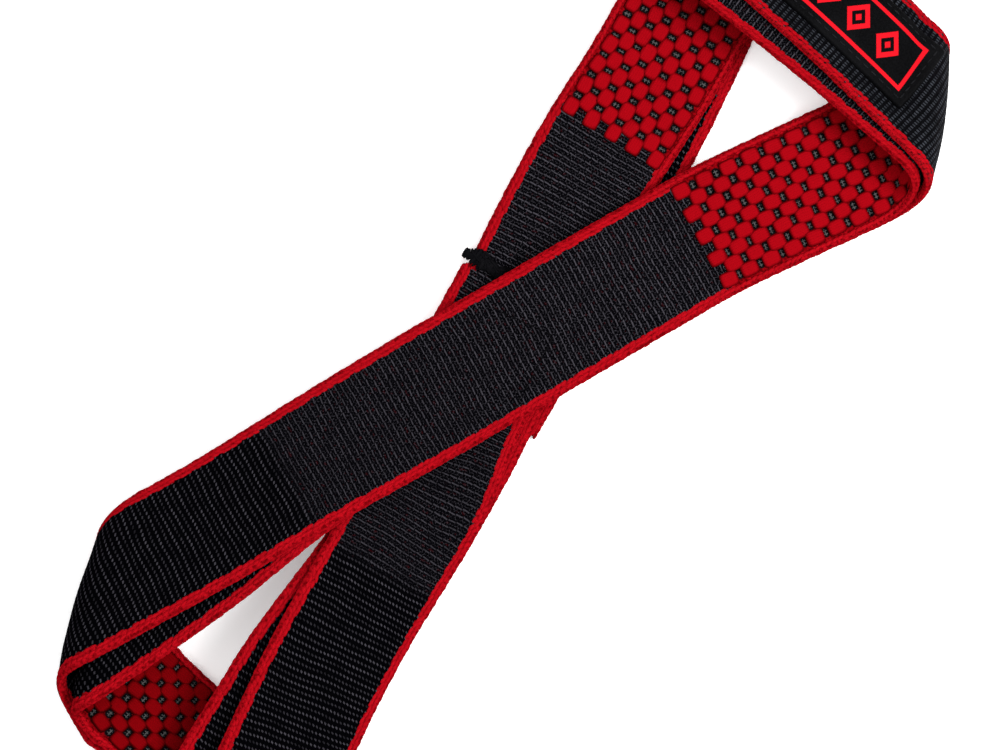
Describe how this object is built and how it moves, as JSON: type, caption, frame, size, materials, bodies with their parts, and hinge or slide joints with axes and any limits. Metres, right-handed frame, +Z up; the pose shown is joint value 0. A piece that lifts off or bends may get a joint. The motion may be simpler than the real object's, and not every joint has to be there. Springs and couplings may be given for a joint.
{
  "type": "figure-eight lifting strap",
  "caption": "Figure-eight lifting strap of thick two-colour webbing wound round its two loops, stitched at the crossing, with a bar tack and a label patch on one end turn.",
  "frame": {"origin": "middle of the strap's outline, on the surface that it lies on", "axes": "+X along the strap's long axis to the loop with the label, +Y across the strap, +Z up from the surface"},
  "size_m": [0.3346, 0.1108, 0.0297],
  "materials": {
    "webbing": "ribbed black and red woven webbing",
    "label_patch": "matt moulded patch",
    "bar_tack": "dense black thread"
  },
  "bodies": {
    "root": {"webbing": "webbing", "label_patch": "label_patch", "bar_tack": "bar_tack"}
  },
  "joints": []
}
